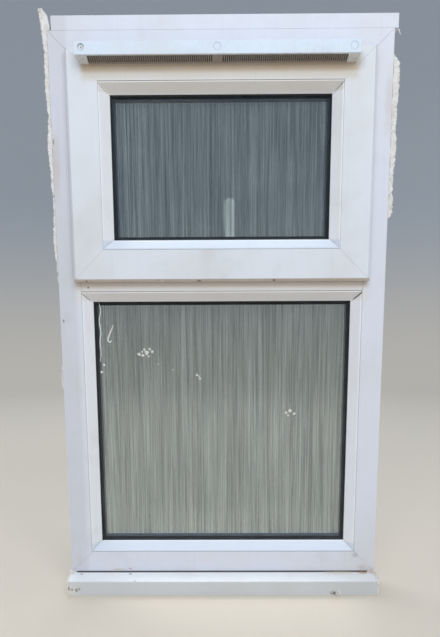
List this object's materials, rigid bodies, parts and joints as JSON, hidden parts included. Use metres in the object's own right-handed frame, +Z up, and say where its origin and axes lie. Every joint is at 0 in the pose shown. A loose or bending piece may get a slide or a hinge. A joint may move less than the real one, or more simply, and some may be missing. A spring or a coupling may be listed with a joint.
{
  "type": "casement window",
  "caption": "White plastic casement window unit: a top-hung opening sash over a fixed light, double glazed, on a stub sill, with a slotted vent canopy along the sash top.",
  "frame": {"origin": "centre of the sill's flat underside across the width, at the depth of the frame's outer face", "axes": "+X to the right seen from outside, +Y into the room, +Z up"},
  "size_m": [0.6284, 0.1158, 1.063],
  "materials": {
    "upvc_frame": "satin white extruded plastic",
    "upvc_sash": "satin white extruded plastic",
    "upvc_bead": "satin white extruded plastic",
    "upvc_sill": "satin white plastic, weathered",
    "mastic": "cream set mastic, torn edge",
    "black_seal": "matt black",
    "unit_spacer": "dark warm-edge spacer with its edge sealant",
    "clear_glass": "clear",
    "obscure_glass": "streaked obscure pattern",
    "packer_plastic": "moulded",
    "stay_steel": "stainless, brushed",
    "screw_steel": "bright",
    "lock_zinc": "zinc plated",
    "handle_white": "white powder coat",
    "button_grey": "satin",
    "vent_white": "white moulded plastic, weathered"
  },
  "bodies": {
    "frame": {"frame_head": "upvc_frame", "frame_bottom_rail": "upvc_frame", "frame_jamb_left": "upvc_frame", "frame_jamb_right": "upvc_frame", "transom": "upvc_frame", "head_extension": "upvc_frame", "sill": "upvc_sill", "sill_end_caps": "upvc_sill", "sealant_left": "mastic", "sealant_right": "mastic", "frame_weather_seal": "black_seal", "frame_hardware_screws": "screw_steel", "lock_keeps": "lock_zinc", "fixed_outer_pane": "clear_glass", "fixed_inner_pane": "obscure_glass", "fixed_spacer_bar": "unit_spacer", "fixed_outer_gasket": "black_seal", "fixed_inner_gasket": "black_seal", "fixed_glazing_packers": "packer_plastic", "fixed_bead_top": "upvc_bead", "fixed_bead_bottom": "upvc_bead", "fixed_bead_left": "upvc_bead", "fixed_bead_right": "upvc_bead", "stay_track_left": "stay_steel", "stay_track_right": "stay_steel"},
    "stay_short_arms": {"stay_short_arm_left": "stay_steel", "stay_short_arm_right": "stay_steel"},
    "stay_long_arms": {"stay_long_arm_left": "stay_steel", "stay_long_arm_right": "stay_steel"},
    "sash": {"sash_top_rail": "upvc_sash", "sash_bottom_rail": "upvc_sash", "sash_stile_left": "upvc_sash", "sash_stile_right": "upvc_sash", "sash_flange_seal": "black_seal", "sash_hardware_screws": "screw_steel", "sash_outer_pane": "clear_glass", "sash_inner_pane": "obscure_glass", "sash_spacer_bar": "unit_spacer", "sash_outer_gasket": "black_seal", "sash_inner_gasket": "black_seal", "sash_glazing_packers": "packer_plastic", "sash_bead_top": "upvc_bead", "sash_bead_bottom": "upvc_bead", "sash_bead_left": "upvc_bead", "sash_bead_right": "upvc_bead", "stay_sash_plate_left": "stay_steel", "stay_sash_plate_right": "stay_steel", "vent_canopy": "vent_white", "vent_canopy_caps": "vent_white", "vent_screws": "screw_steel", "vent_inner_body": "vent_white", "espag_faceplate": "lock_zinc", "espag_gearbox": "lock_zinc", "handle_base": "handle_white", "handle_screws": "screw_steel"},
    "handle": {"handle_lever": "handle_white", "handle_spindle": "lock_zinc"},
    "lock_button": {"handle_lock_button": "button_grey"},
    "drive_bar": {"espag_drive_bar": "lock_zinc"},
    "shutter": {"vent_shutter": "vent_white"}
  },
  "joints": [
    {"name": "short_arm_swing", "type": "hinge", "parent": "frame", "child": "stay_short_arms", "pos_m": [0, 0.01, 0.921], "axis": [1, 0, 0], "range_deg": [0, 35.5]},
    {"name": "sash_hinge", "type": "hinge", "parent": "stay_short_arms", "child": "sash", "pos_m": [0, 0.01, 0.961], "axis": [-1, 0, 0], "range_deg": [0, 65.44]},
    {"name": "long_arm_swing", "type": "hinge", "parent": "frame", "child": "stay_long_arms", "pos_m": [0, 0.01, 0.731], "axis": [1, 0, 0], "range_deg": [0, 11.2]},
    {"name": "handle_turn", "type": "hinge", "parent": "sash", "child": "handle", "pos_m": [0.016, 0.054, 0.647], "axis": [0, -1, 0], "range_deg": [0, 90]},
    {"name": "lock_bar_slide", "type": "slide", "parent": "sash", "child": "drive_bar", "axis": [1, 0, 0], "range_m": [0, 0.0181]},
    {"name": "vent_shutter_slide", "type": "slide", "parent": "sash", "child": "shutter", "axis": [1, 0, 0], "range_m": [0, 0.0125]},
    {"name": "lock_button_press", "type": "slide", "parent": "handle", "child": "lock_button", "axis": [0, -1, 0], "range_m": [0, 0.003], "stiffness_N_per_m": 400}
  ],
  "couplings": [
    {"joint": "short_arm_swing", "follows": "sash_hinge", "ratio": 0.5416},
    {"joint": "long_arm_swing", "follows": "sash_hinge", "ratio": 0.1708},
    {"joint": "lock_bar_slide", "follows": "handle_turn", "m_per_rad": 0.011459}
  ]
}
